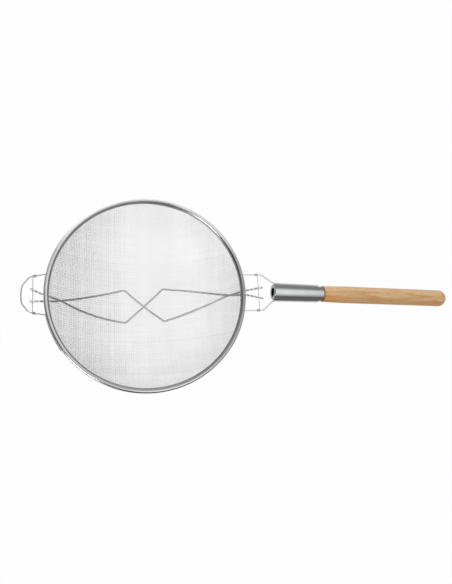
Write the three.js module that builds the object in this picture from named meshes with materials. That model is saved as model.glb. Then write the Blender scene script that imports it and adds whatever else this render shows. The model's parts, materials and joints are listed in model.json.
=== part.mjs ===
// Double mesh sieve with a wooden handle, lying bowl down on a table.
// Millimetres and degrees, +Z up. The handle points along +X and the hook along -X.
// Every piece is drawn in the rim's own frame, whose origin is the centre of the rim's top.
// At the end the sieve is tilted until its lowest wires and the handle both touch z = 0.

import * as THREE from "three";

// Driving dimensions: rim
const rimDiameter = 260;
const rimWidth = 6.5;
const rimHeight = 8;
const rimWall = 0.6;
const rimTopCorner = 2.8;
const rimCorner = 1.8;
const hoopDiameter = 3.4;

// Driving dimensions: the two woven bowls
const bowlDepth = 87.5;
const outerMeshThickness = 0.6;
const innerMeshThickness = 0.4;
const meshInset = 2.1;
const meshNeck = 2;
const clothCells = 13.3;
const meshRib = 4;
const meshBorder = 3;
const leastOpening = 0.4;
const outerOpening = 2;
const innerOpening = 1;

// Driving dimensions: wire
const hookWireDiameter = 1.7;
const forkWireDiameter = 1.7;
const crossWireDiameter = 1.1;
const braceWireDiameter = 1.8;
const wireSeatAngle = 50;
const wireBend = 4;
const seatGap = 0.3;

// Driving dimensions: hook
const hookTurn = 0.6;
const hookReach = 27.5;
const hookRootHalf = 26.4;
const hookHalf = 23;
const hookShoulder = 10;
const hookTipHalf = 11;
const hookTipBow = 0.8;
const hookFrontRun = 77;
const hookBackRun = 168;
const hookCrossOffset = 13.4;

// Driving dimensions: fork
const forkHalf = 24.8;
const forkStraight = 24.5;
const forkLength = 40.2;
const forkRun = 77;
const forkCrossOffset = 19.7;
const forkOnFerrule = 66;
const forkBackRise = 4;
const forkFrontRise = 0;

// Driving dimensions: brace wires
const braceTurn = 1.5;
const braceKinkX = 27.5;
const braceKinkY = 23.8;
const braceKinkGap = 1;
const braceCrossingInset = 17;
const braceBulge = { a: 3, b: 0.5 };
const braceHookEnd = { half: 7.3, shift: -1.2, rimHalf: 4.6, rimShift: -4.2 };
const braceForkEnd = { half: 6.5, shift: -0.2, rimHalf: 3, rimShift: -0.2 };
const braceEye = 3.2;
const braceTwists = 1;
const wrapGap = 0.65;
const crossTurns = 3;

// Driving dimensions: handle
const handleDroop = 2.5;
const handleYaw = -1.7;
const handleSide = 1.4;
const ferruleLength = 72;
const ferruleFrontDiameter = 22.2;
const ferruleRearDiameter = 20.4;
const ferruleWall = 0.8;
const ferruleLip = 1.6;
const ferruleHole = 12.8;
const handleDiameter = 23.5;
const handleLength = 194.4;
const handleTenon = 53;
const handleNeckDiameter = 22.3;
const handleNeckLength = 32;
const handleDome = 10.6;
const handleEdge = 1.2;

// Fineness of the facets
const roundSegments = 48;
const bowlRings = 7;
const turnedSegments = 24;
const runStep = 7;
const turnSteps = 8;
const twistSteps = 12;
const stoutSides = 8;
const thinSides = 6;

const steel = { roughness: 0.25, metalness: 1 };
const finish = {
  band: { color: 0xc6c8ca, ...steel },
  wire: { color: 0xb9bbbd, ...steel },
  mesh: { color: 0xd2d4d5, roughness: 0.35, metalness: 1 },
  tube: { color: 0xbcbec0, ...steel },
  wood: { color: 0xcba275, roughness: 0.6, metalness: 0 },
};

const up = new THREE.Vector3(0, 0, 1);
const down = new THREE.Vector3(0, 0, -1);
const vector = (x, y, z) => new THREE.Vector3(x, y, z);
const radians = THREE.MathUtils.degToRad;

// Places that follow from the sizes: the band, and the spherical bowl hung in its slot
const rimRadius = rimDiameter / 2;
const rimInner = rimRadius - rimWidth;
const hoopCentre = -(rimWall + seatGap + hoopDiameter / 2);
const meshEdge = hoopCentre - hoopDiameter / 2 - seatGap;
const neckFoot = -(rimHeight + meshNeck);
const neckRadius = rimRadius - meshInset;
const capHeight = bowlDepth + neckFoot;
const bowlRadius = (neckRadius ** 2 + capHeight ** 2) / (2 * capHeight);
const bowlCentre = bowlRadius - bowlDepth;
const innerMeshOffset = outerMeshThickness + seatGap;
const meshStack = innerMeshOffset + innerMeshThickness;

// Radius of a bowl surface at the neck, for a surface inset from the outermost one
const neckAt = (inset) => Math.sqrt((bowlRadius - inset) ** 2 - (bowlCentre - neckFoot) ** 2);

// A wire laid into the band's lower outer corner: its distance from the axis and its height
function rimSeat(wireDiameter) {
  const reach = rimCorner + seatGap + wireDiameter / 2;
  const angle = radians(wireSeatAngle);
  return {
    radius: rimRadius - rimCorner + reach * Math.cos(angle),
    height: -rimHeight + rimCorner - reach * Math.sin(angle),
  };
}

const hookSeat = rimSeat(hookWireDiameter);
const forkSeat = rimSeat(forkWireDiameter);

// The handle's own frame: origin at the ferrule's front, +X along the handle
const handleFrame = new THREE.Matrix4();
handleFrame.makeRotationFromEuler(new THREE.Euler(0, radians(handleDroop), radians(handleYaw), "ZYX"));
handleFrame.setPosition(rimRadius + forkLength, handleSide, forkSeat.height - forkBackRise);
const onHandle = (along, side, rise) => vector(along, side, rise).applyMatrix4(handleFrame);

const ferruleRadius = (along) => THREE.MathUtils.lerp(
  ferruleFrontDiameter / 2, ferruleRearDiameter / 2, along / ferruleLength);

// Lathed pieces: a profile of [radius, height] pairs, outer wall upwards
function lathe(profile, segments) {
  return new THREE.LatheGeometry(profile.map(([r, h]) => new THREE.Vector2(r, h)), segments);
}

const latheOnRim = (profile) => lathe(profile, roundSegments).rotateX(Math.PI / 2);
const latheOnHandle = (profile) => lathe(profile, turnedSegments).rotateZ(-Math.PI / 2);

// A quarter of a rounded corner, from one angle to another in degrees
function cornerArc(centreR, centreH, radius, from, to, steps = 2) {
  return Array.from({ length: steps + 1 }, (_, i) => {
    const angle = radians(THREE.MathUtils.lerp(from, to, i / steps));
    return [centreR + radius * Math.cos(angle), centreH + radius * Math.sin(angle)];
  });
}

// A wire's centre line, taken point by point
class WireRoute extends THREE.Curve {
  constructor(points) {
    super();
    this.points = points;
  }

  at(u) {
    return Math.round(u * (this.points.length - 1));
  }

  getPointAt(u, target = new THREE.Vector3()) {
    return target.copy(this.points[this.at(u)]);
  }

  getTangentAt(u, target = new THREE.Vector3()) {
    const last = this.points.length - 1;
    const after = this.points[Math.min(this.at(u) + 1, last)];
    const before = this.points[Math.max(this.at(u) - 1, 0)];
    return target.subVectors(after, before).normalize();
  }
}

function wireGeometry(points, diameter, sides) {
  const section = Array.from({ length: sides }, (_, i) => {
    const angle = (2 * Math.PI * i) / sides;
    return new THREE.Vector2(Math.cos(angle), Math.sin(angle)).multiplyScalar(diameter / 2);
  });
  return new THREE.ExtrudeGeometry(new THREE.Shape(section), {
    extrudePath: new WireRoute(points),
    steps: points.length - 1,
    bevelEnabled: false,
  });
}

// Rounds the sharp corners of a bent wire
function bend(points, radius, sharp = 12, steps = 3) {
  const bent = [points[0]];
  for (let i = 1; i < points.length - 1; i += 1) {
    const [before, corner, after] = [points[i - 1], points[i], points[i + 1]];
    const arriving = corner.clone().sub(before);
    const leaving = after.clone().sub(corner);
    if (THREE.MathUtils.radToDeg(arriving.angleTo(leaving)) < sharp) {
      bent.push(corner);
    } else {
      const cut = Math.min(radius, arriving.length() / 2, leaving.length() / 2);
      const start = corner.clone().addScaledVector(arriving.normalize(), -cut);
      const end = corner.clone().addScaledVector(leaving.normalize(), cut);
      bent.push(...new THREE.QuadraticBezierCurve3(start, corner, end).getPoints(steps));
    }
  }
  bent.push(points.at(-1));
  return bent;
}

// Turns of a thin wire round an axis line, starting under it and walking along it
function wrapPoints(start, along, radius, pitch, turns, outward) {
  const count = Math.round(turns * turnSteps);
  return Array.from({ length: count + 1 }, (_, i) => {
    const angle = (2 * Math.PI * i) / turnSteps;
    return start.clone()
      .addScaledVector(along, (pitch * i) / turnSteps)
      .addScaledVector(down, radius * Math.cos(angle))
      .addScaledVector(outward, radius * Math.sin(angle));
  });
}

// Least clear gap of one wire to itself, between points over three diameters apart along it
function leastGap(points, diameter) {
  const walked = [0];
  points.slice(1).forEach((p, i) => walked.push(walked[i] + p.distanceTo(points[i])));
  let least = Infinity;
  for (let i = 0; i < points.length; i += 1) {
    for (let j = i + 1; j < points.length - 1; j += 1) {
      if (walked[j] - walked[i] > 3 * diameter) {
        const line = new THREE.Line3(points[j], points[j + 1]);
        const near = line.closestPointToPoint(points[i], true, new THREE.Vector3());
        least = Math.min(least, near.distanceTo(points[i]) - diameter);
      }
    }
  }
  return least;
}

// Rim: the rolled band, open below for the mesh, and the hoop inside it
function rimBandGeometry() {
  const [topOuter, topInner] = [rimRadius - rimTopCorner, rimInner + rimTopCorner];
  const [lowOuter, lowInner] = [rimRadius - rimCorner, rimInner + rimCorner];
  const low = -rimHeight + rimCorner;
  const slotOuter = neckRadius + seatGap;
  const slotInner = neckAt(meshStack) - seatGap;
  const bore = rimCorner - rimWall;
  const topBore = rimTopCorner - rimWall;
  const profile = [
    [slotOuter, -rimHeight],
    ...cornerArc(lowOuter, low, rimCorner, -90, 0),
    ...cornerArc(topOuter, -rimTopCorner, rimTopCorner, 0, 90),
    ...cornerArc(topInner, -rimTopCorner, rimTopCorner, 90, 180),
    ...cornerArc(lowInner, low, rimCorner, 180, 270),
    [slotInner, -rimHeight],
    [slotInner, -rimHeight + rimWall],
    ...cornerArc(lowInner, low, bore, 270, 180, 1),
    ...cornerArc(topInner, -rimTopCorner, topBore, 180, 90),
    ...cornerArc(topOuter, -rimTopCorner, topBore, 90, 0),
    ...cornerArc(lowOuter, low, bore, 0, -90, 1),
    [slotOuter, -rimHeight + rimWall],
    [slotOuter, -rimHeight],
  ];
  return latheOnRim(profile);
}

function rimHoopGeometry() {
  const middle = rimRadius - rimWidth / 2;
  return latheOnRim(cornerArc(middle, hoopCentre, hoopDiameter / 2, -90, 270, 6));
}

// A quarter of a cloth pressed onto a sphere, as directions from the sphere's centre. Every cell
// keeps its four sides but may slant: from the two middle wires outwards, each new crossing mirrors
// the one before it in the plane through the centre and the two crossings between them.
function clothQuarter(cellAngle, count) {
  const rows = Array.from({ length: count }, () => []);
  for (let i = 0; i < count; i += 1) {
    rows[i][0] = vector(Math.sin(i * cellAngle), 0, -Math.cos(i * cellAngle));
    rows[0][i] = vector(0, Math.sin(i * cellAngle), -Math.cos(i * cellAngle));
  }
  for (let i = 1; i < count; i += 1) {
    for (let j = 1; j < count; j += 1) {
      const plane = new THREE.Vector3().crossVectors(rows[i - 1][j], rows[i][j - 1]).normalize();
      rows[i][j] = rows[i - 1][j - 1].clone().reflect(plane);
    }
  }
  return rows;
}

const neckReach = (depth) => Math.acos((bowlCentre - neckFoot) / (bowlRadius - depth));
const clothAngle = (2 * neckReach(0)) / clothCells;
const clothSpan = Math.ceil(clothCells / 2);
const cloth = clothQuarter(clothAngle, clothSpan + 1);

function clothNode(i, j) {
  const node = cloth[Math.abs(i)][Math.abs(j)];
  return vector(Math.sign(i) * node.x, Math.sign(j) * node.y, node.z);
}

// Whether a cell of the cloth lies wholly on the bowl, inside its border
function cellOnBowl(i, j) {
  if (Math.max(Math.abs(i + 0.5), Math.abs(j + 0.5)) > clothSpan) return false;
  const lowest = -Math.cos(neckReach(0) - meshBorder / bowlRadius);
  return [[0, 0], [0, 1], [1, 1], [1, 0]].every(([u, v]) => clothNode(i + u, j + v).z < lowest);
}

// Triangles between two rings of points, each in order of its angle about the rim's axis
function zipRings(low, high) {
  const next = (ring, at) => {
    if (at === ring.length) return Infinity;
    return at + 1 < ring.length ? ring[at + 1].angle : ring[0].angle + 2 * Math.PI;
  };
  const index = (ring, at) => ring[at % ring.length].index;
  const faces = [];
  let [i, j] = [0, 0];
  while (i < low.length || j < high.length) {
    if (next(low, i) < next(high, j)) {
      faces.push([index(low, i), index(low, i + 1), index(high, j)]);
      i += 1;
    } else {
      faces.push([index(low, i), index(high, j + 1), index(high, j)]);
      j += 1;
    }
  }
  return faces;
}

// One woven bowl as a thin wall with a plain grid of openings, each some cells of the cloth wide
// where the bowl has room for it. A point is kept for the wall's outer and inner side at once, and
// so is a face; an edge of an opening or of the neck becomes a strip between the two sides.
function meshBowlGeometry(inset, thickness, opening) {
  const sides = [inset, inset + thickness];
  const points = sides.map(() => []);
  const known = new Map();
  const put = (name, place) => {
    if (!known.has(name)) {
      known.set(name, points[0].length);
      sides.forEach((depth, side) => points[side].push(place(depth)));
    }
    return known.get(name);
  };
  const onCloth = (i, j, u, v) => put(`${(i + u).toFixed(3)} ${(j + v).toFixed(3)}`, (depth) => {
    const near = clothNode(i, j).lerp(clothNode(i + 1, j), u);
    const way = near.lerp(clothNode(i, j + 1).lerp(clothNode(i + 1, j + 1), u), v).normalize();
    return vector(0, 0, bowlCentre).addScaledVector(way, bowlRadius - depth);
  });
  const onRing = (name, k, radius, height) => {
    const angle = ((k + 1) / roundSegments) * 2 * Math.PI - Math.PI;
    const index = put(`${name} ${k}`, (depth) => {
      return vector(radius(depth) * Math.cos(angle), radius(depth) * Math.sin(angle), height);
    });
    return { angle, index };
  };
  const faces = [];
  const edges = [];
  const border = new Set();

  const frame = (outline, hole, sided) => {
    outline.forEach((point, k) => {
      const after = (k + 1) % outline.length;
      if (!sided[k]) return;
      faces.push([point, outline[after], hole[after], hole[k]]);
      edges.push([hole[k], hole[after]]);
    });
  };
  const isWide = (i, j) => {
    const [left, low] = [Math.floor(i / opening) * opening, Math.floor(j / opening) * opening];
    const within = Array.from({ length: opening }, (_, n) => n);
    return within.every((u) => within.every((v) => cellOnBowl(left + u, low + v)));
  };
  const addCell = (i, j) => {
    const wide = isWide(i, j);
    const ribAt = [i, j + 1, i + 1, j].map((line) => !wide || line % opening === 0);
    const rib = meshRib / (bowlRadius * clothAngle) / 2;
    const [lowU, highU] = [ribAt[0] ? rib : 0, ribAt[2] ? 1 - rib : 1];
    const [lowV, highV] = [ribAt[3] ? rib : 0, ribAt[1] ? 1 - rib : 1];
    const corners = [[0, 0], [0, 1], [1, 1], [1, 0]].map(([u, v]) => onCloth(i, j, u, v));
    const hole = [[lowU, lowV], [lowU, highV], [highU, highV], [highU, lowV]]
      .map(([u, v]) => onCloth(i, j, u, v));
    frame(corners, hole, ribAt);
    [[i - 1, j], [i, j + 1], [i + 1, j], [i, j - 1]].forEach((beyond, k) => {
      if (!cellOnBowl(...beyond)) border.add(corners[k]).add(corners[(k + 1) % 4]);
    });
  };
  const addTriangle = (face) => {
    const [a, b, c] = face.map((index) => points[0][index]);
    const lengths = [b.distanceTo(c), c.distanceTo(a), a.distanceTo(b)];
    const girth = lengths[0] + lengths[1] + lengths[2];
    const inradius = (2 * new THREE.Triangle(a, b, c).getArea()) / girth;
    const share = 1 - meshRib / 2 / inradius;
    if (share < leastOpening) {
      faces.push(face);
      return;
    }
    const hole = face.map((index) => put(`hole ${face} ${index}`, (depth) => {
      const side = points[sides.indexOf(depth)];
      const middle = vector(0, 0, 0);
      face.forEach((corner, k) => middle.addScaledVector(side[corner], lengths[k] / girth));
      return middle.lerp(side[index], share);
    }));
    frame(face, hole, [true, true, true]);
  };
  for (let i = -clothSpan; i < clothSpan; i += 1) {
    for (let j = -clothSpan; j < clothSpan; j += 1) {
      if (cellOnBowl(i, j)) addCell(i, j);
    }
  }

  const around = Array.from({ length: roundSegments }, (_, k) => k);
  const footRadius = (depth) => (bowlRadius - depth) * Math.sin(neckReach(depth));
  const foot = around.map((k) => onRing("foot", k, footRadius, neckFoot));
  const top = around.map((k) => onRing("top", k, neckAt, meshEdge));
  const jagged = [...border]
    .map((index) => ({ index, angle: Math.atan2(points[0][index].y, points[0][index].x) }))
    .sort((a, b) => a.angle - b.angle);
  zipRings(jagged, foot).forEach(addTriangle);
  faces.push(...zipRings(foot, top));
  around.forEach((k) => edges.push([top[k].index, top[(k + 1) % roundSegments].index]));

  const behind = points[0].length;
  const polygons = [
    ...faces,
    ...faces.map((face) => face.map((index) => index + behind).reverse()),
    ...edges.map(([a, b]) => [a, b, b + behind, a + behind]),
  ];
  const geometry = new THREE.BufferGeometry().setFromPoints(points.flat());
  geometry.setIndex(polygons.flatMap(([a, b, c, d]) => (d === undefined ? [a, b, c] : [a, b, c, a, c, d])));
  return geometry;
}

// Points of a wire lying along the rim, at lengths measured from the middle of the hook or the fork
function rimRunPoints(seat, from, to) {
  const count = Math.ceil(Math.abs(to - from) / (2 * runStep));
  return Array.from({ length: count + 1 }, (_, i) => {
    const angle = THREE.MathUtils.lerp(from, to, i / count) / seat.radius;
    return vector(seat.radius * Math.cos(angle), seat.radius * Math.sin(angle), seat.height);
  });
}

// Hook: one bent wire, drawn as if it pointed along +X and then turned round to face -X
const rootRun = (seat, half) => seat.radius * Math.asin(half / seat.radius);
const hookRoot = rootRun(hookSeat, hookRootHalf);
const hookTipX = rimRadius + hookReach;
const hookShoulderX = hookTipX - hookShoulder;
const turnHook = (point) => point.applyAxisAngle(up, Math.PI + radians(hookTurn));

function hookPoints() {
  const z = hookSeat.height;
  return bend([
    ...rimRunPoints(hookSeat, -hookBackRun, -hookRoot),
    vector(hookShoulderX, -hookHalf, z),
    vector(hookTipX - hookTipBow, -hookTipHalf, z),
    vector(hookTipX, 0, z),
    vector(hookTipX - hookTipBow, hookTipHalf, z),
    vector(hookShoulderX, hookHalf, z),
    ...rimRunPoints(hookSeat, hookRoot, hookFrontRun),
  ], wireBend).map(turnHook);
}

// Half width of the hook at a distance from the rim's axis
function hookHalfAt(x) {
  const rootX = Math.sqrt(hookSeat.radius ** 2 - hookRootHalf ** 2);
  return THREE.MathUtils.mapLinear(x, rootX, hookShoulderX, hookRootHalf, hookHalf);
}

// Fork: a wire on each side, from under the rim to the side of the ferrule
const forkRoot = rootRun(forkSeat, forkHalf);

function forkPoints(side) {
  const bendX = rimRadius + forkStraight;
  const rise = side > 0 ? forkBackRise : forkFrontRise;
  const besideFerrule = (along) => {
    const reach = ferruleRadius(along) + seatGap + forkWireDiameter / 2;
    return onHandle(along, side * Math.sqrt(reach ** 2 - rise ** 2), rise);
  };
  return bend([
    ...rimRunPoints(forkSeat, side * forkRun, side * forkRoot),
    vector(bendX, side * forkHalf, forkSeat.height),
    besideFerrule(0),
    besideFerrule(forkOnFerrule / 2),
    besideFerrule(forkOnFerrule),
  ], wireBend);
}

// How far a cross wire, or a brace strand over it, lies from what it touches
const crossDrop = (legDiameter) => (legDiameter + crossWireDiameter) / 2 + seatGap;
const strandRise = (braceWireDiameter + crossWireDiameter) / 2 + seatGap;

// A thin cross wire under two legs, wrapped round each leg at both ends
function crossWirePoints(x, half, legHeight, legDiameter, legSlope) {
  const radius = crossDrop(legDiameter);
  const pitch = crossWireDiameter + wrapGap;
  const end = (side) => {
    const start = vector(x, side * half, legHeight);
    const along = vector(-1, side * legSlope, 0).normalize();
    return wrapPoints(start, along, radius, pitch, crossTurns, vector(0, side, 0));
  };
  return [...end(-1).reverse(), ...end(1)];
}

const hookCrossX = rimRadius + hookCrossOffset;
const hookSlope = hookHalfAt(hookCrossX - 1) - hookHalfAt(hookCrossX);
const forkCrossX = rimRadius + forkCrossOffset;

const hookCrossPoints = crossWirePoints(
  hookCrossX, hookHalfAt(hookCrossX), hookSeat.height, hookWireDiameter, hookSlope).map(turnHook);
const forkCrossPoints = crossWirePoints(
  forkCrossX, forkHalf, forkSeat.height, forkWireDiameter, 0);

// Brace wires: under the bowl between hook and fork. A strand stays clear of the bowl by an
// amount that grows towards the kinks, where the stiff wire hangs a little lower than the mesh.
const braceClear = braceWireDiameter / 2 + seatGap;
const braceStep = braceWireDiameter + seatGap;
const kinkRadius = Math.hypot(braceKinkX, braceKinkY);
const crossingX = rimRadius - braceCrossingInset;

// Where points lie on a brace wire's runs, as shares of each run
const braceBeforeKink = [0.3, 0.6, 0.86, 1];
const braceToCrossing = [0.05, 0.2, 0.4, 0.6, 0.8, 1];
const braceToRim = [0.35, 0.65, 0.88];

function braceHeight(x, y, extra) {
  const r = Math.hypot(x, y);
  const slack = THREE.MathUtils.smoothstep(r, kinkRadius, crossingX - braceCrossingInset);
  const clear = braceClear + braceKinkGap * (1 - slack) + extra;
  return bowlCentre - Math.sqrt((bowlRadius + clear) ** 2 - r ** 2);
}

// Half of a brace wire: from the centre out to the rim, and its twisted end.
// side is +1 towards the fork and -1 towards the hook; turn is +1 where the kink is at +Y.
function braceHalf(side, turn, under, bulge, end, cross) {
  const turned = (x, y, z) => vector(x, y, z).applyAxisAngle(up, radians(braceTurn));
  const kink = vector(side * braceKinkX, turn * braceKinkY, 0);
  const crossing = vector(side * crossingX, 0, 0);
  const points = braceBeforeKink.map((part) => {
    const lift = under ? braceStep * (1 - THREE.MathUtils.smoothstep(part, 0.2, 0.86)) : 0;
    const flat = turned(kink.x * part, kink.y * part, 0);
    return vector(flat.x, flat.y, braceHeight(flat.x, flat.y, lift));
  });
  for (const part of braceToCrossing) {
    const p = kink.clone().lerp(crossing, part);
    p.y += turn * bulge * Math.sin(Math.PI * part);
    const lift = under ? braceStep * THREE.MathUtils.smoothstep(part, 0.6, 1) : 0;
    const flat = turned(p.x, p.y, 0);
    points.push(vector(flat.x, flat.y, braceHeight(flat.x, flat.y, lift)));
  }
  const rimY = end.rimShift - turn * end.rimHalf;
  const endY = end.shift - turn * end.half;
  const underRim = cross.place(rimRadius, rimY, 0);
  const start = turned(crossing.x, crossing.y, 0);
  for (const part of braceToRim) {
    const p = start.clone().lerp(underRim, part);
    const lift = under ? braceStep * (1 - THREE.MathUtils.smoothstep(part, 0.2, 0.85)) : 0;
    points.push(vector(p.x, p.y, braceHeight(p.x, p.y, lift)));
  }
  const rim = cross.place(rimRadius + braceWireDiameter, rimY, -(rimHeight + braceClear));
  points.push(rim);
  const eye = cross.place(cross.x + braceEye, endY, cross.height);
  return { bowlPart: points, end: braceEnd(rim, cross.place(cross.x, endY, cross.height), eye) };
}

// The end of a brace wire: out along one side of a twist, round the cross wire in an eye, and back
// along the twist's other side to a free end near the rim
function braceEnd(rim, cross, eye) {
  const tight = (braceWireDiameter + wrapGap) / 2;
  const foot = rim.clone().addScaledVector(down, tight);
  const away = cross.clone().sub(foot).normalize();
  const outward = new THREE.Vector3().crossVectors(up, away).normalize();
  const count = braceTwists * twistSteps;
  const strand = (phase) => Array.from({ length: count + 1 }, (_, i) => {
    const share = i / count;
    const spread = THREE.MathUtils.lerp(tight, strandRise, THREE.MathUtils.smoothstep(share, 0.6, 1));
    const angle = 2 * Math.PI * braceTwists * share + phase;
    return foot.clone().lerp(cross, share)
      .addScaledVector(up, spread * Math.cos(angle))
      .addScaledVector(outward, spread * Math.sin(angle));
  });
  const tip = [0, 1, 2, 3, 4].map((step) => {
    const angle = (Math.PI * step) / 4;
    return eye.clone()
      .addScaledVector(up, strandRise * Math.cos(angle))
      .addScaledVector(away, strandRise * Math.sin(angle));
  });
  return [...strand(0).slice(1), ...tip, ...strand(Math.PI).slice(1).reverse()];
}

function bracePoints(turn, under, bulge) {
  const hookEnd = {
    x: hookCrossX,
    height: hookSeat.height - crossDrop(hookWireDiameter),
    place: (x, y, z) => turnHook(vector(x, -y, z)),
  };
  const forkEnd = {
    x: forkCrossX,
    height: forkSeat.height - crossDrop(forkWireDiameter),
    place: (x, y, z) => vector(x, y, z),
  };
  const hookSide = braceHalf(-1, -turn, under, bulge, braceHookEnd, hookEnd);
  const forkSide = braceHalf(1, turn, under, bulge, braceForkEnd, forkEnd);
  const centre = vector(0, 0, braceHeight(0, 0, under ? braceStep : 0));
  const whole = ({ bowlPart, end }) => {
    const curve = new THREE.CatmullRomCurve3([centre, ...bowlPart], false, "centripetal");
    return [...curve.getPoints(2 * bowlPart.length), ...end];
  };
  return [...whole(hookSide).reverse(), ...whole(forkSide).slice(1)];
}

const braceA = bracePoints(1, false, braceBulge.a);
const braceB = bracePoints(-1, true, braceBulge.b);

for (const [name, points, diameter] of [
  ["brace wire a", braceA, braceWireDiameter],
  ["brace wire b", braceB, braceWireDiameter],
  ["hook cross wire", hookCrossPoints, crossWireDiameter],
  ["fork cross wire", forkCrossPoints, crossWireDiameter],
]) {
  console.log(`${name}: least gap to itself ${leastGap(points, diameter).toFixed(2)} mm`);
}

// Ferrule: a slightly tapered tube whose front edge is rolled in round a hole
function ferruleGeometry() {
  const front = ferruleFrontDiameter / 2;
  const rear = ferruleRearDiameter / 2;
  const hole = ferruleHole / 2;
  return latheOnHandle([
    [hole, ferruleWall],
    [hole, ferruleWall / 2],
    ...cornerArc(ferruleRadius(ferruleLip) - ferruleLip, ferruleLip, ferruleLip, -90, 0),
    [rear, ferruleLength],
    [rear - ferruleWall, ferruleLength],
    [ferruleRadius(2 * ferruleLip) - ferruleWall, 2 * ferruleLip],
    [front - ferruleLip - ferruleWall, ferruleLip],
    [hole, ferruleWall],
  ]);
}

// Handle: a tenon that follows the ferrule's bore, a shoulder and neck, a straight grip and a domed end
function handleGeometry() {
  const radius = handleDiameter / 2;
  const neck = handleNeckDiameter / 2;
  const tenon = (along) => ferruleRadius(along) - ferruleWall - seatGap;
  const tenonFront = ferruleLength - handleTenon;
  const shoulder = ferruleLength + seatGap;
  const domeFoot = ferruleLength + handleLength - handleDome;
  const domeSteps = 5;
  const dome = Array.from({ length: domeSteps }, (_, i) => {
    const angle = (Math.PI / 2) * (i / domeSteps);
    return [radius * Math.cos(angle), domeFoot + handleDome * Math.sin(angle)];
  });
  return latheOnHandle([
    [0, tenonFront],
    [tenon(tenonFront), tenonFront],
    [tenon(shoulder), shoulder],
    [neck - handleEdge, shoulder],
    [neck, shoulder + handleEdge],
    [radius, shoulder + handleNeckLength],
    ...dome,
    [0, domeFoot + handleDome],
  ]);
}

// The scene graph: the handle's two turned pieces sit in a group of their own
const sieve = new THREE.Group();
const handleGroup = new THREE.Group();
handleFrame.decompose(handleGroup.position, handleGroup.quaternion, handleGroup.scale);
sieve.add(handleGroup);

function add(group, name, geometry, look) {
  const mesh = new THREE.Mesh(geometry, new THREE.MeshStandardMaterial(look));
  mesh.name = name;
  group.add(mesh);
  return mesh;
}

add(sieve, "rim_band", rimBandGeometry(), finish.band);
add(sieve, "rim_hoop_wire", rimHoopGeometry(), finish.wire);
const innerMesh = meshBowlGeometry(innerMeshOffset, innerMeshThickness, innerOpening);
const outerMesh = meshBowlGeometry(0, outerMeshThickness, outerOpening);
add(sieve, "inner_mesh", innerMesh, finish.mesh);
add(sieve, "outer_mesh", outerMesh, finish.mesh);
add(sieve, "brace_wire_a", wireGeometry(braceA, braceWireDiameter, thinSides), finish.wire);
add(sieve, "brace_wire_b", wireGeometry(braceB, braceWireDiameter, thinSides), finish.wire);
add(sieve, "hook_wire", wireGeometry(hookPoints(), hookWireDiameter, stoutSides), finish.wire);
add(sieve, "hook_cross_wire", wireGeometry(hookCrossPoints, crossWireDiameter, thinSides), finish.wire);
add(sieve, "fork_wire_back", wireGeometry(forkPoints(1), forkWireDiameter, stoutSides), finish.wire);
add(sieve, "fork_wire_front", wireGeometry(forkPoints(-1), forkWireDiameter, stoutSides), finish.wire);
add(sieve, "fork_cross_wire", wireGeometry(forkCrossPoints, crossWireDiameter, thinSides), finish.wire);
add(handleGroup, "ferrule", ferruleGeometry(), finish.tube);
add(handleGroup, "handle", handleGeometry(), finish.wood);

// Rest: tilt about Y until the bowl end and the handle reach equally low
function lowest(names, tilt) {
  sieve.rotation.set(0, tilt, 0);
  sieve.updateMatrixWorld(true);
  const boxes = names.map((name) => new THREE.Box3().setFromObject(sieve.getObjectByName(name), true));
  return Math.min(...boxes.map((box) => box.min.z));
}

let [level, steep] = [0, radians(30)];
for (let i = 0; i < 40; i += 1) {
  const tilt = (level + steep) / 2;
  const bowlLow = lowest(["brace_wire_a", "brace_wire_b", "outer_mesh"], tilt);
  if (lowest(["handle"], tilt) > bowlLow) level = tilt;
  else steep = tilt;
}
sieve.rotation.y = level;
sieve.updateMatrixWorld(true);

// Origin: under the middle of the whole sieve, on the table
const extent = new THREE.Box3().setFromObject(sieve, true);
const middle = extent.getCenter(new THREE.Vector3());
sieve.position.set(-middle.x, -middle.y, -extent.min.z);

const part = new THREE.Group();
part.add(sieve);

export default part;
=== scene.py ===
"""Looks of the double mesh sieve: rolled rim, two woven bowls, wires, ferrule and wooden handle.

Every piece is drawn in millimetres in the rim's own frame, with the origin at the centre of the
rim's top, +X towards the handle, +Y to the back and +Z up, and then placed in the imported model.
The floor, the softbox and the heights of drawn lines and flecks are in metres.
"""

import json
import math
from typing import NamedTuple

import bmesh
import bpy
from mathutils import Matrix, Vector


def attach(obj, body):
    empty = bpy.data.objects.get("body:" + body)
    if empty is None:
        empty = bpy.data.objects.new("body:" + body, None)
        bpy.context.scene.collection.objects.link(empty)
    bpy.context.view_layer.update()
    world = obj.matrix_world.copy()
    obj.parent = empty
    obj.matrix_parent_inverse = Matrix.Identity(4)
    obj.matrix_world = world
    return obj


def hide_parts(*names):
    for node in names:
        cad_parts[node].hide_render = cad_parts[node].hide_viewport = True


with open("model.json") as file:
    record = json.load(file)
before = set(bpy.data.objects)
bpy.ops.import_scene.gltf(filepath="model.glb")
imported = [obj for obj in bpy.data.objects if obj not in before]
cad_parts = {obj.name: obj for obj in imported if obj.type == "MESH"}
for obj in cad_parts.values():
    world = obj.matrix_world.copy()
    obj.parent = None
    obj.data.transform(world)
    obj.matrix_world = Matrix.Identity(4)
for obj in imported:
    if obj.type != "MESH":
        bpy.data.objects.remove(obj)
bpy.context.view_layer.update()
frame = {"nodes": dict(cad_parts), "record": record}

MM = 0.001
UP = Vector((0, 0, 1))


class BareSide(NamedTuple):
    """A side that a toned stretch leaves bare: the tone fades between two reaches along a direction."""
    way: tuple
    toned: float
    bare: float


# Stretches paint highlights and shade onto the band and the ferrule
class Stretch(NamedTuple):
    """Part of a metal piece in another tone. It is measured along an axis of the piece's frame, or as
    the distance from a centre, and goes from where the tone is full to where it ends."""
    axis: object
    tone: float
    full: float
    end: float
    bare_sides: tuple = ()


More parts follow.
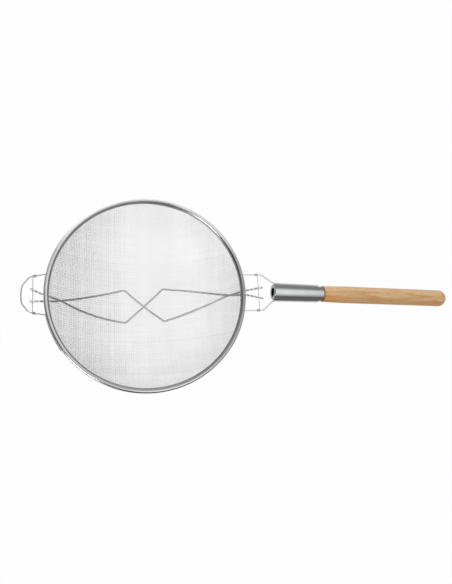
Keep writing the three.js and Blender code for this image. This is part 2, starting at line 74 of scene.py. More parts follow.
class Tint(NamedTuple):
    """A colour laid over wood. Its share grows from none to the most between two values of a measure."""
    none: float
    most: float
    share: float
    colour: tuple


# Camera, fitted to the photograph: place and target in the rim's frame, focal length in pixels
PHOTO_WIDTH = 452
FOCAL_PIXELS = 574.9
SENSOR_WIDTH = 36
CAMERA_PLACE = (-50.5, -183.1, 724.2)
CAMERA_TARGET = (102.51, -1.3, 0)
CAMERA_ROLL = 2.105

# Rim
RIM_RADIUS = 130
RIM_WIDTH = 6.5
RIM_HEIGHT = 8
RIM_WALL = 0.6
RIM_TOP_CORNER = 2.8
RIM_CORNER = 1.8
RIM_SEAM_ANGLE = -43.4
RIM_SEAM_GAP = 0.12
RIM_STEPS = 256

# Tin of the rim: its tones, and stretches of painted light on it, painted highlights that are brighter and
# painted shade that is darker
BAND_TONES = ((0.46, 0.465, 0.47), (0.54, 0.545, 0.55))
BAND_ROUGHNESS = (0.14, 0.24)
BAND_LINES = {"line_stretch": (1, 1, 1), "cloud_scale": 0.05, "line_scale": 0.6, "line_height": 0.00002}
BAND_MIDDLE = (0, 0)
# Centre of the stretches of painted highlight and painted shade, set a little off the rim's axis
BAND_PAINTED_LIGHT_MIDDLE = (1.5, -0.7)
BACK_RIGHT_BARE = BareSide((0.64, 0.77, 0), 113, 121)
FRONT_LEFT_BARE = BareSide((-0.68, -0.73, 0), 113, 121)
ALL_BUT_BACK_BARE = BareSide((-0.1, -0.99, 0), -80, -40)
ALL_BUT_FRONT_BARE = BareSide((-0.5, 0.87, 0), -95, -70)
ALL_BUT_RIGHT_BARE = BareSide((-0.82, 0.57, 0), -112, -95)
# Painted light on the band: a painted highlight on the outer half at the back, a brighter painted stripe and
# a dark painted line on the outer edge at the front, and painted shade on the inner half, the lower wall and
# the inner edge at the right
BAND_STRETCHES = (
    Stretch(BAND_PAINTED_LIGHT_MIDDLE, tone=0.95, full=RIM_RADIUS - 0.8, end=RIM_RADIUS - 2.2,
            bare_sides=(ALL_BUT_BACK_BARE,)),
    Stretch(BAND_PAINTED_LIGHT_MIDDLE, tone=0.24, full=RIM_RADIUS - 4.1, end=RIM_RADIUS - 2.6,
            bare_sides=(BACK_RIGHT_BARE,)),
    Stretch(BAND_MIDDLE, tone=0.62, full=RIM_RADIUS - 1.8, end=RIM_RADIUS - 2.8,
            bare_sides=(ALL_BUT_FRONT_BARE,)),
    Stretch("Z", tone=0.2, full=-3, end=-1.2, bare_sides=(BACK_RIGHT_BARE, FRONT_LEFT_BARE)),
    Stretch(BAND_PAINTED_LIGHT_MIDDLE, tone=0.19, full=RIM_RADIUS - 5.1, end=RIM_RADIUS - 4.3,
            bare_sides=(ALL_BUT_RIGHT_BARE,)),
    Stretch(BAND_MIDDLE, tone=0.04, full=RIM_RADIUS - 0.8, end=RIM_RADIUS - 1.4,
            bare_sides=(ALL_BUT_FRONT_BARE,)),
)

# Woven bowls: the spherical cap, the neck that goes up into the rim, and the two cloths
BOWL_DEPTH = 87.5
NECK_RADIUS = 127.9
NECK_FOOT = -10
MESH_EDGE = -4.6
MESH_STACK = 1.3
OUTER_CLOTH = {"inset": 0.3, "pitch": 2.85, "wire": 0.27, "sides": 4, "steps": 2, "seed": 1, "painted_shade": 0.5}
INNER_CLOTH = {"inset": 1.1, "pitch": 1.52, "wire": 0.19, "sides": 3, "steps": 1, "seed": 3, "painted_shade": 1.4}
# Painted shade on the mesh wires: darker towards both sides and most towards the hook, a little darker at the
# front and up towards the rim; each cloth sets how strongly it takes it
CLOTH_SHADE_SLOPE = (0.0028, 0.0008, -0.00125)
CLOTH_SHADE_CURVE = (-4e-5, 0, 0)
CLOTH_CLOUDING = (0.76, 0.93)
CLOTH_WIRE_TONE = 0.12
CLOTH_TONES = (0.25, 0.95)
CLOTH_CLOUD_SCALE = 0.03
CLOTH_ROUGHNESS = 0.34

# Wire
HOOK_WIRE = 1.7
FORK_WIRE = 1.7
CROSS_WIRE = 0.9
BRACE_WIRE = 1.8
SEAT_GAP = 0.3
TOUCH_GAP = 0.06
WIRE_SEAT_ANGLE = 50
WIRE_BEND = 4
WIRE_SIDES = 16
RIM_RUN_STEP = 4
CROSS_TURNS = 4.4
# Tones of the same drawn steel: lightest on the fork and the hoop, a little darker on the braces, darker on
# the hook
WIRE_TONES = {"bright_wire": 0.55, "grey_wire": 0.42, "brace_steel": 0.52}
WIRE_SHADES = (0.9, 1.1)
WIRE_BLUE = 1.02
WIRE_ROUGHNESS = (0.22, 0.36)
WIRE_LINES = {"line_stretch": (6, 40, 1), "cloud_scale": 60, "line_scale": 1, "line_height": 0.00001}

# Hook
HOOK_TURN = 0.6
HOOK_REACH = 27.5
HOOK_ROOT_HALF = 26.4
HOOK_HALF = 23
HOOK_SHOULDER = 10
HOOK_TIP_HALF = 11
HOOK_TIP_BOW = 0.8
HOOK_FRONT_RUN = 77
HOOK_BACK_RUN = 168
HOOK_CROSS_OFFSET = 13.4

# Fork
FORK_HALF = 24.8
FORK_STRAIGHT = 24.5
FORK_LENGTH = 40.2
FORK_RUN = 77
FORK_CROSS_OFFSET = 19.7
FORK_ON_FERRULE = 66
FORK_BACK_RISE = 4
FORK_FRONT_RISE = 0

# Brace wires under the bowl
BRACE_TURN = 1.5
BRACE_KINK = (27.5, 23.8)
BRACE_KINK_GAP = 1
BRACE_KINK_EASE = 4
BRACE_CROSSING_INSET = 17
BRACE_TO_KINK = {"shares": (0.3, 0.6, 0.86, 1), "lift": (0.2, 0.86)}
BRACE_TO_CROSSING = {"shares": (0.05, 0.2, 0.4, 0.6, 0.8, 1), "lift": (0.6, 1)}
BRACE_TO_RIM = {"shares": (0.35, 0.65, 0.88), "lift": (0.2, 0.85)}
BRACE_BULGE = {"a": 3, "b": 0.5}
BRACE_HOOK_END = {"half": 7.3, "shift": -1.2, "rim_half": 4.6, "rim_shift": -4.2, "eye": 1.5}
BRACE_FORK_END = {"half": 6.5, "shift": -0.2, "rim_half": 3, "rim_shift": -0.2, "eye": 4.5}
BRACE_STRAND = 1.4
BRACE_EYE = {"half": 1.5, "lean": 45, "reach": 3.5, "steps": 8}
BRACE_CURVE_STEPS = 8
BRACE_POINT_STEP = 0.7
BRACE_HALF_LAY = 5.6
BRACE_HALF_TURNS = 5

# Handle
HANDLE_DROOP = 2.5
HANDLE_YAW = -1.7
HANDLE_SIDE = 1.4
FERRULE_LENGTH = 72
FERRULE_FRONT_RADIUS = 11.1
FERRULE_REAR_RADIUS = 10.2
FERRULE_WALL = 0.8
FERRULE_LIP = 1.6
FERRULE_HOLE_RADIUS = 6.4
HANDLE_RADIUS = 11.75
HANDLE_LENGTH = 194.4
HANDLE_TENON = 53
HANDLE_NECK_RADIUS = 11.15
HANDLE_NECK_LENGTH = 32
HANDLE_DOME = 10.6
HANDLE_EDGE = 1.2
TURNED_STEPS = 96
DOME_STEPS = 16

# Steel of the ferrule: bright along the top, with painted shade down the sides, at the back and at the lip
FERRULE_TONES = ((0.47, 0.475, 0.48), (0.54, 0.545, 0.55))
FERRULE_ROUGHNESS = (0.22, 0.3)
FERRULE_LINES = {"line_stretch": (1, 1, 0.02), "cloud_scale": 0.08, "line_scale": 3, "line_height": 0.00002}
# Painted shade on the ferrule: dark below the top, at the back beside the fork wire, and at the lip
FERRULE_STRETCHES = (
    Stretch("X", tone=0.11, full=-7, end=-10.4),
    Stretch("Y", tone=0.18, full=3.4, end=0.4),
    Stretch("Z", tone=0.3, full=0.5, end=1.2),
)

# Wood
WOOD_KNOT = (-11, 2, 257)
WOOD_HEART = (15, 9, 0)
WOOD_LEAN = (1.5, 3, 0)
WOOD_RING = 3.4
WOOD_WAVER = 5
WOOD_BROAD = {"stretch": (1, 1, 0.06), "scale": 0.14}
WOOD_FINE = {"stretch": (1, 1, 0.07), "scale": 2.2}
WOOD_NEAR = (FERRULE_LENGTH + 15, FERRULE_LENGTH + 55)
WOOD_COLOUR = (0.55, 0.31, 0.12)
STREAK_TINT = Tint(none=0.38, most=0.62, share=1, colour=(0.68, 0.47, 0.27))
# Painted light: the wood is paler along the back, where the light falls
PAINTED_BACK_LIGHT_TINT = Tint(none=0, most=6, share=0.85, colour=(0.8, 0.56, 0.32))
# Painted shade: darker and more orange towards the bottom
PAINTED_LOW_SHADE_TINT = Tint(none=-8, most=3, share=0.8, colour=(0.6, 0.29, 0.085))
# Painted light: paler still along the back near the ferrule
PAINTED_NEAR_BACK_LIGHT_TINT = Tint(none=1, most=6, share=0.8, colour=(0.95, 0.68, 0.4))
# Near the ferrule at the front: an orange streak of the grain, together with painted shade
NEAR_FRONT_STREAK_AND_SHADE_TINT = Tint(none=-2, most=-6, share=0.75, colour=(0.66, 0.28, 0.07))
RING_TINT = Tint(none=0, most=1, share=0.5, colour=(0.46, 0.21, 0.06))
FLECK_TINT = Tint(none=0.5, most=0.68, share=0.55, colour=(0.34, 0.18, 0.075))
# Painted shade on the wood at the shoulder, where it meets the ferrule
PAINTED_SHOULDER_SHADE_TINT = Tint(none=FERRULE_LENGTH + 2.4, most=FERRULE_LENGTH + 0.6, share=0.75, colour=(0.16, 0.07, 0.02))
KNOT_TINT = Tint(none=4.5, most=1, share=0.8, colour=(0.62, 0.26, 0.08))
WOOD_ROUGHNESS = (0.42, 0.58)
WOOD_BUMP = {"Strength": 0.25, "Distance": 0.0001}
WOOD_SPECULAR = 0.2

# Shared by the materials and the turned pieces
NOISE_RANGE = (0.3, 0.7)
LINE_STRENGTH = 0.3
SHARP_ANGLE = 40
MERGE_DISTANCE = 0.001

# Light
KEY_LIGHT = (0.3, -0.32, 0.9)
KEY_NARROWING = 2.2
KEY_STOPS = ((0, 0.1), (0.24, 0.18), (0.5, 0.38), (0.69, 0.62), (0.86, 1), (0.98, 1.5))
BACK_LIGHT = (-0.1, 0.9, 0.42)
BACK_REACH = (0.3, 1)
BACK_GLOW = 1
SOFTBOX = {"place": (-1.3, -1.2, 1.15), "size": 0.8, "power": 14}
FLOOR_SIZE = 60
FLOOR_GLOW = 0.98
FLOOR_PAINT = (0.5, 0.5, 0.5, 1)

# Places that follow from the sizes
CAP_HEIGHT = BOWL_DEPTH + NECK_FOOT
BOWL_RADIUS = (NECK_RADIUS ** 2 + CAP_HEIGHT ** 2) / (2 * CAP_HEIGHT)
BOWL_CENTRE = BOWL_RADIUS - BOWL_DEPTH


def mix(a, b, share):
    return a + (b - a) * share


def smoothstep(x, low, high):
    x = min(max((x - low) / (high - low), 0), 1)
    return x * x * (3 - 2 * x)


def neck_at(inset):
    """Radius of the neck for a cloth that lies that far inside the bowl's outermost surface."""
    return math.sqrt((BOWL_RADIUS - inset) ** 2 - (BOWL_CENTRE - NECK_FOOT) ** 2)


def rim_seat(diameter):
    """Distance from the axis and height of a wire laid into the band's lower outer corner."""
    reach = RIM_CORNER + SEAT_GAP + diameter / 2
    angle = math.radians(WIRE_SEAT_ANGLE)
    radius = RIM_RADIUS - RIM_CORNER + reach * math.cos(angle)
    return radius, -RIM_HEIGHT + RIM_CORNER - reach * math.sin(angle)


HOOK_SEAT = rim_seat(HOOK_WIRE)
FORK_SEAT = rim_seat(FORK_WIRE)


def find_rim_frame():
    """From the rim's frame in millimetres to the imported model's, by the mount on the rim's top."""
    face = next(m for m in frame["record"]["mounts"] if m["name"] == "rim_face")
    x, _, z = face["pos_m"]
    lean = math.atan2(face["axis"][0], face["axis"][2])
    return Matrix.Translation((x, 0, z)) @ Matrix.Rotation(lean, 4, "Y") @ Matrix.Scale(MM, 4)


RIM_FRAME = find_rim_frame()
HANDLE_FRAME = (
    Matrix.Translation((RIM_RADIUS + FORK_LENGTH, HANDLE_SIDE, FORK_SEAT[1] - FORK_BACK_RISE))
    @ Matrix.Rotation(math.radians(HANDLE_YAW), 4, "Z")
    @ Matrix.Rotation(math.radians(HANDLE_DROOP), 4, "Y")
)
TURNING_FRAME = RIM_FRAME @ HANDLE_FRAME @ Matrix.Rotation(math.pi / 2, 4, "Y")


# Node trees

def add_node(tree, kind, feeds=None, **settings):
    """A node with its settings, whose inputs are fed by other nodes' outputs or by plain values."""
    node = tree.nodes.new(kind)
    for name, value in settings.items():
        setattr(node, name, value)
    for key, value in (feeds or {}).items():
        if isinstance(value, bpy.types.NodeSocket):
            tree.links.new(value, node.inputs[key])
        else:
            node.inputs[key].default_value = value
    return node


def maths(tree, how, first, second):
    return add_node(tree, "ShaderNodeMath", {0: first, 1: second}, operation=how).outputs[0]


def new_tree(name, kind, inputs, outputs):
    """A node group with named sockets, and its input and output nodes."""
    tree = bpy.data.node_groups.new(name, kind)
    for way, sockets in (("INPUT", inputs), ("OUTPUT", outputs)):
        for label, socket in sockets.items():
            tree.interface.new_socket(label, in_out=way, socket_type="NodeSocket" + socket)
    return tree, tree.nodes.new("NodeGroupInput").outputs, tree.nodes.new("NodeGroupOutput").inputs


def capture(tree, geometry, value, label):
    """Keeps a value of a curve's points, so that the swept mesh can read it."""
    node = add_node(tree, "GeometryNodeCaptureAttribute", {"Geometry": geometry})
    node.capture_items.new("FLOAT", label)
    tree.links.new(value, node.inputs[label])
    return node.outputs["Geometry"], node.outputs[label]


def sweep_wire(tree, curve, diameter, sides, finish):
    """Nodes that sweep a round section along curves, with a UV map round and along each wire."""
    parameter = add_node(tree, "GeometryNodeSplineParameter")
    curve, along = capture(tree, curve, parameter.outputs["Length"], "Along")
    radius = maths(tree, "MULTIPLY", diameter, 0.5)
    circle = add_node(tree, "GeometryNodeCurvePrimitiveCircle", {"Resolution": sides, "Radius": radius})
    section, around = capture(tree, circle.outputs[0], parameter.outputs["Factor"], "Around")
    swept = add_node(tree, "GeometryNodeCurveToMesh",
                     {"Curve": curve, "Profile Curve": section, "Fill Caps": True})
    place = add_node(tree, "ShaderNodeCombineXYZ", {"X": around, "Y": along})
    mapped = add_node(tree, "GeometryNodeStoreNamedAttribute",
                      {"Geometry": swept.outputs[0], "Name": "UVMap", "Value": place.outputs[0]},
                      data_type="FLOAT2", domain="CORNER")
    smooth = add_node(tree, "GeometryNodeSetShadeSmooth", {0: mapped.outputs[0]})
    whole = add_node(tree, "GeometryNodeRealizeInstances", {0: smooth.outputs[0]})
    return add_node(tree, "GeometryNodeSetMaterial", {"Geometry": whole.outputs[0], "Material": finish})


def drawn_wire_tree():
    """One wire along a path."""
    tree, given, result = new_tree(
        "drawn_wire", "GeometryNodeTree",
        {"Path": "Geometry", "Diameter": "Float", "Sides": "Int", "Finish": "Material"},
        {"Wire": "Geometry"})
    curve = add_node(tree, "GeometryNodeMeshToCurve", {"Mesh": given["Path"]})
    wire = sweep_wire(tree, curve.outputs[0], given["Diameter"], given["Sides"], given["Finish"])
    tree.links.new(wire.outputs[0], result["Wire"])
    return tree


def woven_cloth_tree():
    """Many wires of one cloth, each lifted and lowered by turns where it crosses the others."""
    tree, given, result = new_tree(
        "woven_cloth", "GeometryNodeTree",
        {"Paths": "Geometry", "Wire Diameter": "Float", "Weave Height": "Float", "Sides": "Int",
         "Steps": "Int", "Seed": "Int", "Finish": "Material"},
        {"Cloth": "Geometry"})
    outward = add_node(tree, "GeometryNodeInputNamedAttribute", {"Name": "outward"},
                       data_type="FLOAT_VECTOR")
    weave = add_node(tree, "GeometryNodeInputNamedAttribute", {"Name": "weave"}, data_type="FLOAT")
    lift = maths(tree, "MULTIPLY", weave.outputs[0], given["Weave Height"])
    offset = add_node(tree, "ShaderNodeVectorMath", {"Vector": outward.outputs[0], "Scale": lift},
                      operation="SCALE")
    woven = add_node(tree, "GeometryNodeSetPosition",
                     {"Geometry": given["Paths"], "Offset": offset.outputs[0]})
    curve = add_node(tree, "GeometryNodeMeshToCurve", {"Mesh": woven.outputs[0]})
    flowing = add_node(tree, "GeometryNodeCurveSplineType", {"Curve": curve.outputs[0]},
                       spline_type="CATMULL_ROM")
    stepped = add_node(tree, "GeometryNodeSetSplineResolution",
                       {"Geometry": flowing.outputs[0], "Resolution": given["Steps"]})
    tone = add_node(tree, "FunctionNodeRandomValue", {"Seed": given["Seed"]}, data_type="FLOAT")
    toned = add_node(tree, "GeometryNodeStoreNamedAttribute",
                     {"Geometry": stepped.outputs[0], "Name": "wire_tone", "Value": tone.outputs["Value"]},
                     data_type="FLOAT", domain="CURVE")
    cloth = sweep_wire(tree, toned.outputs[0], given["Wire Diameter"], given["Sides"], given["Finish"])
    tree.links.new(cloth.outputs[0], result["Cloth"])
    return tree


def grown(name, mesh, tree, values):
    """An object whose mesh is what a tree of geometry nodes makes of paths, as a plain mesh."""
    piece = bpy.data.objects.new(name, mesh)
    bpy.context.scene.collection.objects.link(piece)
    modifier = piece.modifiers.new(tree.name, "NODES")
    modifier.node_group = tree
    for socket in tree.interface.items_tree:
        if socket.in_out == "INPUT" and socket.name in values:
            modifier[socket.identifier] = values[socket.name]
    depsgraph = bpy.context.evaluated_depsgraph_get()
    piece.data = bpy.data.meshes.new_from_object(
        piece.evaluated_get(depsgraph), preserve_all_data_layers=True, depsgraph=depsgraph)
    piece.data.name = name
    piece.modifiers.clear()
    bpy.data.meshes.remove(mesh)
    return piece


def paths_mesh(name, paths):
    """A mesh of open paths, each a list of points in the rim's frame."""
    points = []
    edges = []
    for path in paths:
        first = len(points)
        points.extend(RIM_FRAME @ Vector(p) for p in path)
        edges.extend((i, i + 1) for i in range(first, len(points) - 1))
    mesh = bpy.data.meshes.new(name)
    mesh.from_pydata(points, edges, [])
    return mesh


def stands_for(piece, node):
    """Fixes a piece to the sieve's one body, in place of a CAD node."""
    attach(piece, "root")
    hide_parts(node)


# Materials

def new_material(name, **sockets):
    """A material with one principled shader, and plain values on its sockets."""
    material = bpy.data.materials.new(name)
    material.use_nodes = True
    tree = material.node_tree
    tree.nodes.clear()
    shader = tree.nodes.new("ShaderNodeBsdfPrincipled")
    output = tree.nodes.new("ShaderNodeOutputMaterial")
    tree.links.new(shader.outputs[0], output.inputs["Surface"])
    for label, value in sockets.items():
        shader.inputs[label.replace("_", " ")].default_value = value
    return material, tree, shader


def in_frame(tree, placed):
    """Object coordinates turned into a piece's own frame, in millimetres."""
    own = placed.inverted()
    location, rotation, scale = own.decompose()
    place = add_node(tree, "ShaderNodeTexCoord").outputs["Object"]
    return add_node(tree, "ShaderNodeMapping", {
        "Vector": place, "Location": location, "Rotation": rotation.to_euler(), "Scale": scale,
    }).outputs[0]


def stretched(tree, vector, scale):
    return add_node(tree, "ShaderNodeMapping", {"Vector": vector, "Scale": scale}).outputs[0]


def noise(tree, vector, scale, detail=3, roughness=0.55):
    return add_node(tree, "ShaderNodeTexNoise", {
        "Vector": vector, "Scale": scale, "Detail": detail, "Roughness": roughness}).outputs["Fac"]


def remap(tree, value, low, high, to_low, to_high):
    return add_node(tree, "ShaderNodeMapRange", {
        "Value": value, "From Min": low, "From Max": high, "To Min": to_low, "To Max": to_high,
    }).outputs[0]


def dot(tree, first, second):
    product = add_node(tree, "ShaderNodeVectorMath", {0: first, 1: second}, operation="DOT_PRODUCT")
    return product.outputs["Value"]


def from_axis(tree, place, centre=(0, 0)):
    """Distance from the Z axis, or from a line beside it."""
    flat = add_node(tree, "ShaderNodeMapping", {
        "Vector": place, "Location": (-centre[0], -centre[1], 0), "Scale": (1, 1, 0)}).outputs[0]
    return add_node(tree, "ShaderNodeVectorMath", {0: flat}, operation="LENGTH").outputs["Value"]


def blend_colour(tree, share, first, second, how="MIX"):
    node = add_node(tree, "ShaderNodeMix", {0: share}, data_type="RGBA", blend_type=how)
    for socket, colour in ((node.inputs[6], first), (node.inputs[7], second)):
        if isinstance(colour, bpy.types.NodeSocket):
            tree.links.new(colour, socket)
        else:
            socket.default_value = (*colour, 1)
    return node.outputs[2]


def worn_metal_group():
    """Clouding and fine drawn lines on bright metal, each as a mask."""
    tree, given, result = new_tree(
        "worn_metal", "ShaderNodeTree",
        {"Place": "Vector", "Line Place": "Vector", "Cloud Scale": "Float", "Line Scale": "Float"},
        {"Cloud": "Float", "Lines": "Float"})
    cloud = noise(tree, given["Place"], given["Cloud Scale"], detail=4)
    lines = noise(tree, given["Line Place"], given["Line Scale"], detail=2)
    tree.links.new(remap(tree, cloud, *NOISE_RANGE, 0, 1), result["Cloud"])
    tree.links.new(remap(tree, lines, *NOISE_RANGE, 0, 1), result["Lines"])
    return tree


WORN_METAL = worn_metal_group()


def metal(name, tones, rough, place_of, line_stretch, cloud_scale, line_scale, line_height, stretches=()):
    """Bright metal between two tones and two roughnesses, with clouding, drawn lines and any stretches of
    painted highlight and painted shade.
    """
    material, tree, shader = new_material(name, Metallic=1)
    place = place_of(tree)
    worn = add_node(tree, "ShaderNodeGroup", {
        "Place": place, "Line Place": stretched(tree, place, line_stretch),
        "Cloud Scale": cloud_scale, "Line Scale": line_scale}, node_tree=WORN_METAL)
    lines = worn.outputs["Lines"]
    colour = blend_colour(tree, worn.outputs["Cloud"], *tones)
    # Each stretch paints a highlight or shade over the clouded tone
    for stretch in stretches:
        if stretch.axis in ("X", "Y", "Z"):
            at = add_node(tree, "ShaderNodeSeparateXYZ", {0: place}).outputs[stretch.axis]
        else:
            at = from_axis(tree, place, stretch.axis)
        share = remap(tree, at, stretch.full, stretch.end, 1, 0)
        for side in stretch.bare_sides:
            rest = remap(tree, dot(tree, place, side.way), side.toned, side.bare, 1, 0)
            share = maths(tree, "MULTIPLY", share, rest)
        colour = blend_colour(tree, share, colour, (stretch.tone, stretch.tone, stretch.tone))
    tree.links.new(colour, shader.inputs["Base Color"])
    tree.links.new(remap(tree, lines, 0, 1, *rough), shader.inputs["Roughness"])
    bump = add_node(tree, "ShaderNodeBump",
                    {"Height": lines, "Strength": LINE_STRENGTH, "Distance": line_height})
    tree.links.new(bump.outputs[0], shader.inputs["Normal"])
    return material


def uv_place(tree):
    return add_node(tree, "ShaderNodeTexCoord").outputs["UV"]


def tinned_band():
    return metal("tinned_band", BAND_TONES, BAND_ROUGHNESS, lambda tree: in_frame(tree, RIM_FRAME),
                 **BAND_LINES, stretches=BAND_STRETCHES)


def drawn_steel(name, tone):
    tones = tuple((shade * tone, shade * tone, WIRE_BLUE * shade * tone) for shade in WIRE_SHADES)
    return metal(name, tones, WIRE_ROUGHNESS, uv_place, **WIRE_LINES)


def ferrule_steel():
    return metal("ferrule_steel", FERRULE_TONES, FERRULE_ROUGHNESS,
                 lambda tree: in_frame(tree, TURNING_FRAME), **FERRULE_LINES, stretches=FERRULE_STRETCHES)


def woven_steel(name, painted_shade):
    """Bright mesh wire, darkened by painted shade towards the sides and most towards the hook, whose tone
    differs a little from wire to wire.
    """
    material, tree, shader = new_material(name, Metallic=1, Roughness=CLOTH_ROUGHNESS)
    slope = [painted_shade * c for c in CLOTH_SHADE_SLOPE]
    curve = [painted_shade * c for c in CLOTH_SHADE_CURVE]
    tone = add_node(tree, "ShaderNodeAttribute", attribute_name="wire_tone").outputs["Fac"]
    place = in_frame(tree, RIM_FRAME)
    cloud = noise(tree, place, CLOTH_CLOUD_SCALE)
    squared = add_node(tree, "ShaderNodeVectorMath", {0: place, 1: place}, operation="MULTIPLY").outputs[0]
    share = remap(tree, cloud, *NOISE_RANGE, *CLOTH_CLOUDING)
    # Painted shade: the slope and the curve darken the wires towards the sides and the hook
    for more in (remap(tree, tone, 0, 1, -CLOTH_WIRE_TONE, CLOTH_WIRE_TONE),
                 dot(tree, place, slope), dot(tree, squared, curve)):
        share = maths(tree, "ADD", share, more)
    share = remap(tree, share, *CLOTH_TONES, *CLOTH_TONES)
    tree.links.new(blend_colour(tree, share, (0, 0, 0), (1, 1, 1)), shader.inputs["Base Color"])
    return material


def tinted(tree, colour, measure, tint, mask=1):
    share = remap(tree, measure, tint.none, tint.most, 0, tint.share)
    return blend_colour(tree, maths(tree, "MULTIPLY", share, mask), colour, tint.colour)


def wood_rings(tree, place, broad):
    """Waves of growth rings round a heart that lies beside the handle and leans a little to it."""
    heart = add_node(tree, "ShaderNodeMapping", {
        "Vector": place, "Location": WOOD_HEART, "Rotation": [math.radians(a) for a in WOOD_LEAN],
    }).outputs[0]
    waver = remap(tree, broad, *NOISE_RANGE, 0, WOOD_WAVER)
    depth = maths(tree, "ADD", from_axis(tree, heart), waver)
    phase = maths(tree, "MULTIPLY", depth, 2 * math.pi / WOOD_RING)
    return add_node(tree, "ShaderNodeMath", {0: phase}, operation="SINE").outputs[0]


def turned_wood():
    """Pale wood with slanting growth rings, streaks along the grain, short flecks and a small knot.
    Painted light lies on it: it is paler along the back and darker towards the bottom, and painted shade
    darkens it where it meets the ferrule."""
    material, tree, shader = new_material("turned_wood", Specular_IOR_Level=WOOD_SPECULAR)
    place = in_frame(tree, TURNING_FRAME)
    broad = noise(tree, stretched(tree, place, WOOD_BROAD["stretch"]), WOOD_BROAD["scale"], detail=2)
    flecks = noise(tree, stretched(tree, place, WOOD_FINE["stretch"]), WOOD_FINE["scale"], detail=2)
    down, back, along = add_node(tree, "ShaderNodeSeparateXYZ", {0: place}).outputs
    near = remap(tree, along, *WOOD_NEAR, 1, 0)
    away = add_node(tree, "ShaderNodeVectorMath", {0: place, 1: WOOD_KNOT}, operation="DISTANCE")
    colour = tinted(tree, WOOD_COLOUR, broad, STREAK_TINT)
    # Painted light and shade: paler along the back, darker towards the bottom, and near the ferrule paler at
    # the back, with an orange streak and painted shade at the front
    colour = tinted(tree, colour, back, PAINTED_BACK_LIGHT_TINT)
    colour = tinted(tree, colour, down, PAINTED_LOW_SHADE_TINT)
    colour = tinted(tree, colour, back, PAINTED_NEAR_BACK_LIGHT_TINT, near)
    colour = tinted(tree, colour, back, NEAR_FRONT_STREAK_AND_SHADE_TINT, near)
    colour = tinted(tree, colour, wood_rings(tree, place, broad), RING_TINT)
    colour = tinted(tree, colour, flecks, FLECK_TINT)
    # Painted shade on the wood where it meets the ferrule
    colour = tinted(tree, colour, along, PAINTED_SHOULDER_SHADE_TINT)
    colour = tinted(tree, colour, away.outputs["Value"], KNOT_TINT)
    tree.links.new(colour, shader.inputs["Base Color"])
    tree.links.new(remap(tree, flecks, *NOISE_RANGE, *WOOD_ROUGHNESS), shader.inputs["Roughness"])
    bump = add_node(tree, "ShaderNodeBump", {"Height": flecks, **WOOD_BUMP})
    tree.links.new(bump.outputs[0], shader.inputs["Normal"])
    return material


# Turned and rolled pieces

def arc(centre_r, centre_h, radius, start, stop, steps=8):
    """Points of a round stretch of an outline, between two angles in degrees."""
    angles = [math.radians(mix(start, stop, i / steps)) for i in range(steps + 1)]
    return [(centre_r + radius * math.cos(a), centre_h + radius * math.sin(a)) for a in angles]


def put_in_order(parts, key):
    """Sorts a shape's corners, edges or faces, which spin leaves in an order that changes by run."""
    for number, part in enumerate(sorted(parts, key=key)):
        part.index = number
    parts.sort()
    parts.index_update()


def turned(name, outline, placed, finish, steps, start=0, turn=360, closed=False):
    """A piece turned round the Z axis of its own frame from an outline of (radius, height)."""
    shape = bmesh.new()
    corners = [shape.verts.new((r, 0, h)) for r, h in outline]
    edges = [shape.edges.new(pair) for pair in zip(corners, corners[1:])]
    if closed:
        edges.append(shape.edges.new((corners[-1], corners[0])))
    bmesh.ops.spin(shape, geom=corners + edges, axis=(0, 0, 1), cent=(0, 0, 0),
                   angle=math.radians(turn), steps=steps)
    bmesh.ops.remove_doubles(shape, verts=shape.verts, dist=MERGE_DISTANCE)
    bmesh.ops.holes_fill(shape, edges=[e for e in shape.edges if e.is_boundary])
    bmesh.ops.recalc_face_normals(shape, faces=shape.faces)
    shape.transform(placed @ Matrix.Rotation(math.radians(start), 4, "Z"))
    put_in_order(shape.verts, lambda corner: corner.co[:])
    put_in_order(shape.edges, lambda edge: sorted(corner.index for corner in edge.verts))
    put_in_order(shape.faces, lambda face: sorted(corner.index for corner in face.verts))
    mesh = bpy.data.meshes.new(name)
    shape.to_mesh(mesh)
    shape.free()
    mesh.shade_smooth()
    mesh.set_sharp_from_angle(angle=math.radians(SHARP_ANGLE))
    mesh.materials.append(finish)
    piece = bpy.data.objects.new(name, mesh)
    bpy.context.scene.collection.objects.link(piece)
    return piece


def make_rim(finish):
    """The band rolled over the hoop: open below for the cloth, with its two ends met at a seam."""
    top_outer, low_outer = RIM_RADIUS - RIM_TOP_CORNER, RIM_RADIUS - RIM_CORNER
    top_inner, low_inner = (RIM_RADIUS - RIM_WIDTH + corner for corner in (RIM_TOP_CORNER, RIM_CORNER))
    low = -RIM_HEIGHT + RIM_CORNER
    slot_outer = NECK_RADIUS + SEAT_GAP
    slot_inner = neck_at(MESH_STACK) - SEAT_GAP
    bore = RIM_CORNER - RIM_WALL
    top_bore = RIM_TOP_CORNER - RIM_WALL
    outline = [
        (slot_outer, -RIM_HEIGHT),
        *arc(low_outer, low, RIM_CORNER, -90, 0),
        *arc(top_outer, -RIM_TOP_CORNER, RIM_TOP_CORNER, 0, 90, 12),
        *arc(top_inner, -RIM_TOP_CORNER, RIM_TOP_CORNER, 90, 180, 12),
        *arc(low_inner, low, RIM_CORNER, 180, 270),
        (slot_inner, -RIM_HEIGHT),
        (slot_inner, -RIM_HEIGHT + RIM_WALL),
        *arc(low_inner, low, bore, 270, 180, 4),
        *arc(top_inner, -RIM_TOP_CORNER, top_bore, 180, 90, 4),
        *arc(top_outer, -RIM_TOP_CORNER, top_bore, 90, 0, 4),
        *arc(low_outer, low, bore, 0, -90, 4),
        (slot_outer, -RIM_HEIGHT + RIM_WALL),
    ]
    gap = math.degrees(RIM_SEAM_GAP / RIM_RADIUS)
    piece = turned("rim_band_rolled", outline, RIM_FRAME, finish, RIM_STEPS,
                   start=RIM_SEAM_ANGLE + gap / 2, turn=360 - gap, closed=True)
    stands_for(piece, "rim_band")


